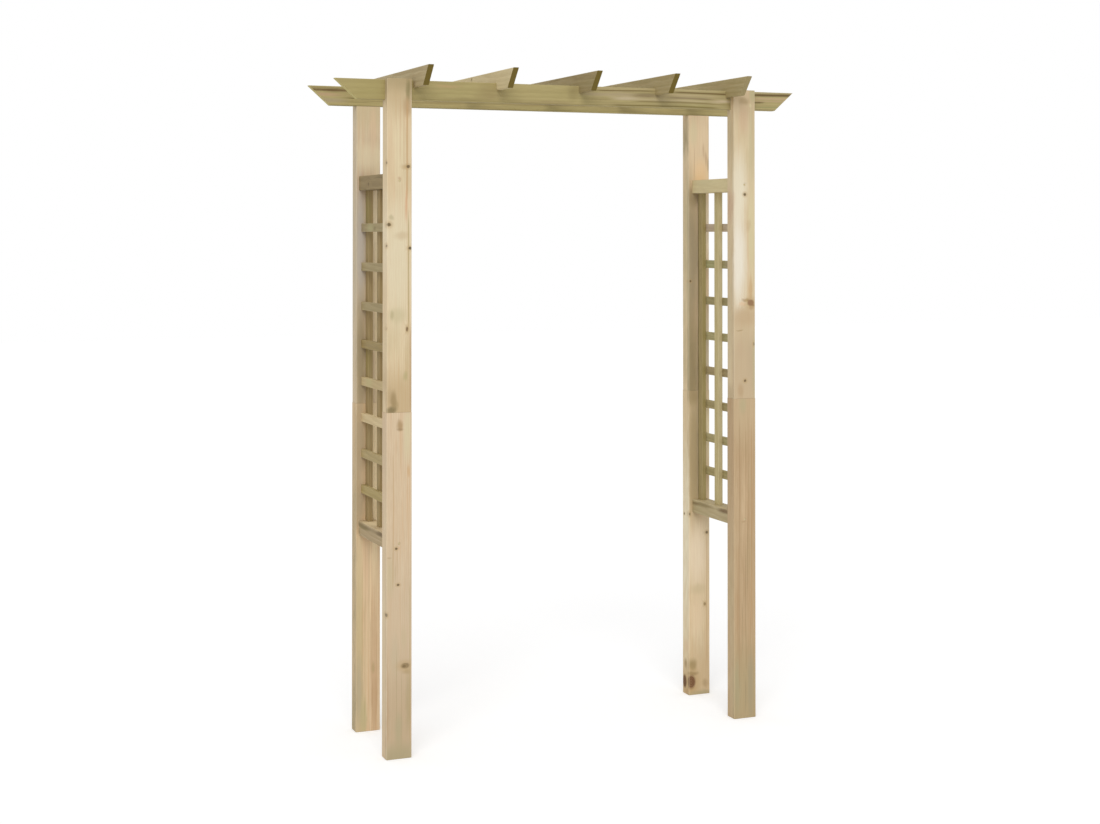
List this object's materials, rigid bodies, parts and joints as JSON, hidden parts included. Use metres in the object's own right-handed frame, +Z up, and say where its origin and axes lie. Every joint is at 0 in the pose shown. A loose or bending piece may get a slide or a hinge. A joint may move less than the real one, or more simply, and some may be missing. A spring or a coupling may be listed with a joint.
{
  "type": "garden arch",
  "caption": "Open timber garden arch with spliced posts, mitred beams let into the post tops, notched rafters and slatted side trellis panels",
  "frame": {"origin": "bottom centre of the bounding box: on the ground, midway between the four posts", "axes": "+Z is up; +X runs along the beams, across the passage; +Y runs through the passage from the front, which the picture shows, to the rear"},
  "size_m": [1.5, 0.59, 1.9923],
  "materials": {
    "post_wood": "planed softwood, pressure-treated",
    "beam_wood": "planed softwood, pressure-treated",
    "rafter_wood": "planed softwood, pressure-treated",
    "rail_wood": "planed softwood, pressure-treated",
    "slat_wood": "planed softwood, pressure-treated",
    "dowel_wood": "turned hardwood",
    "screw_steel": "galvanised"
  },
  "bodies": {
    "root": {"front_left_post_lower": "post_wood", "front_left_post_upper": "post_wood", "front_left_post_dowel": "dowel_wood", "front_left_bottom_rail_screw": "screw_steel", "front_left_top_rail_screw": "screw_steel", "front_left_beam_screw": "screw_steel", "rear_left_post_lower": "post_wood", "rear_left_post_upper": "post_wood", "rear_left_post_dowel": "dowel_wood", "rear_left_bottom_rail_screw": "screw_steel", "rear_left_top_rail_screw": "screw_steel", "rear_left_beam_screw": "screw_steel", "front_right_post_lower": "post_wood", "front_right_post_upper": "post_wood", "front_right_post_dowel": "dowel_wood", "front_right_bottom_rail_screw": "screw_steel", "front_right_top_rail_screw": "screw_steel", "front_right_beam_screw": "screw_steel", "rear_right_post_lower": "post_wood", "rear_right_post_upper": "post_wood", "rear_right_post_dowel": "dowel_wood", "rear_right_bottom_rail_screw": "screw_steel", "rear_right_top_rail_screw": "screw_steel", "rear_right_beam_screw": "screw_steel", "left_bottom_rail": "rail_wood", "left_top_rail": "rail_wood", "left_upright_front": "slat_wood", "left_upright_middle": "slat_wood", "left_upright_rear": "slat_wood", "left_crossbar_1": "slat_wood", "left_crossbar_2": "slat_wood", "left_crossbar_3": "slat_wood", "left_crossbar_4": "slat_wood", "left_crossbar_5": "slat_wood", "left_crossbar_6": "slat_wood", "left_crossbar_7": "slat_wood", "left_crossbar_8": "slat_wood", "right_bottom_rail": "rail_wood", "right_top_rail": "rail_wood", "right_upright_front": "slat_wood", "right_upright_middle": "slat_wood", "right_upright_rear": "slat_wood", "right_crossbar_1": "slat_wood", "right_crossbar_2": "slat_wood", "right_crossbar_3": "slat_wood", "right_crossbar_4": "slat_wood", "right_crossbar_5": "slat_wood", "right_crossbar_6": "slat_wood", "right_crossbar_7": "slat_wood", "right_crossbar_8": "slat_wood", "front_beam": "beam_wood", "rear_beam": "beam_wood", "rafter_1": "rafter_wood", "rafter_2": "rafter_wood", "rafter_3": "rafter_wood", "rafter_4": "rafter_wood", "rafter_5": "rafter_wood"}
  },
  "joints": []
}
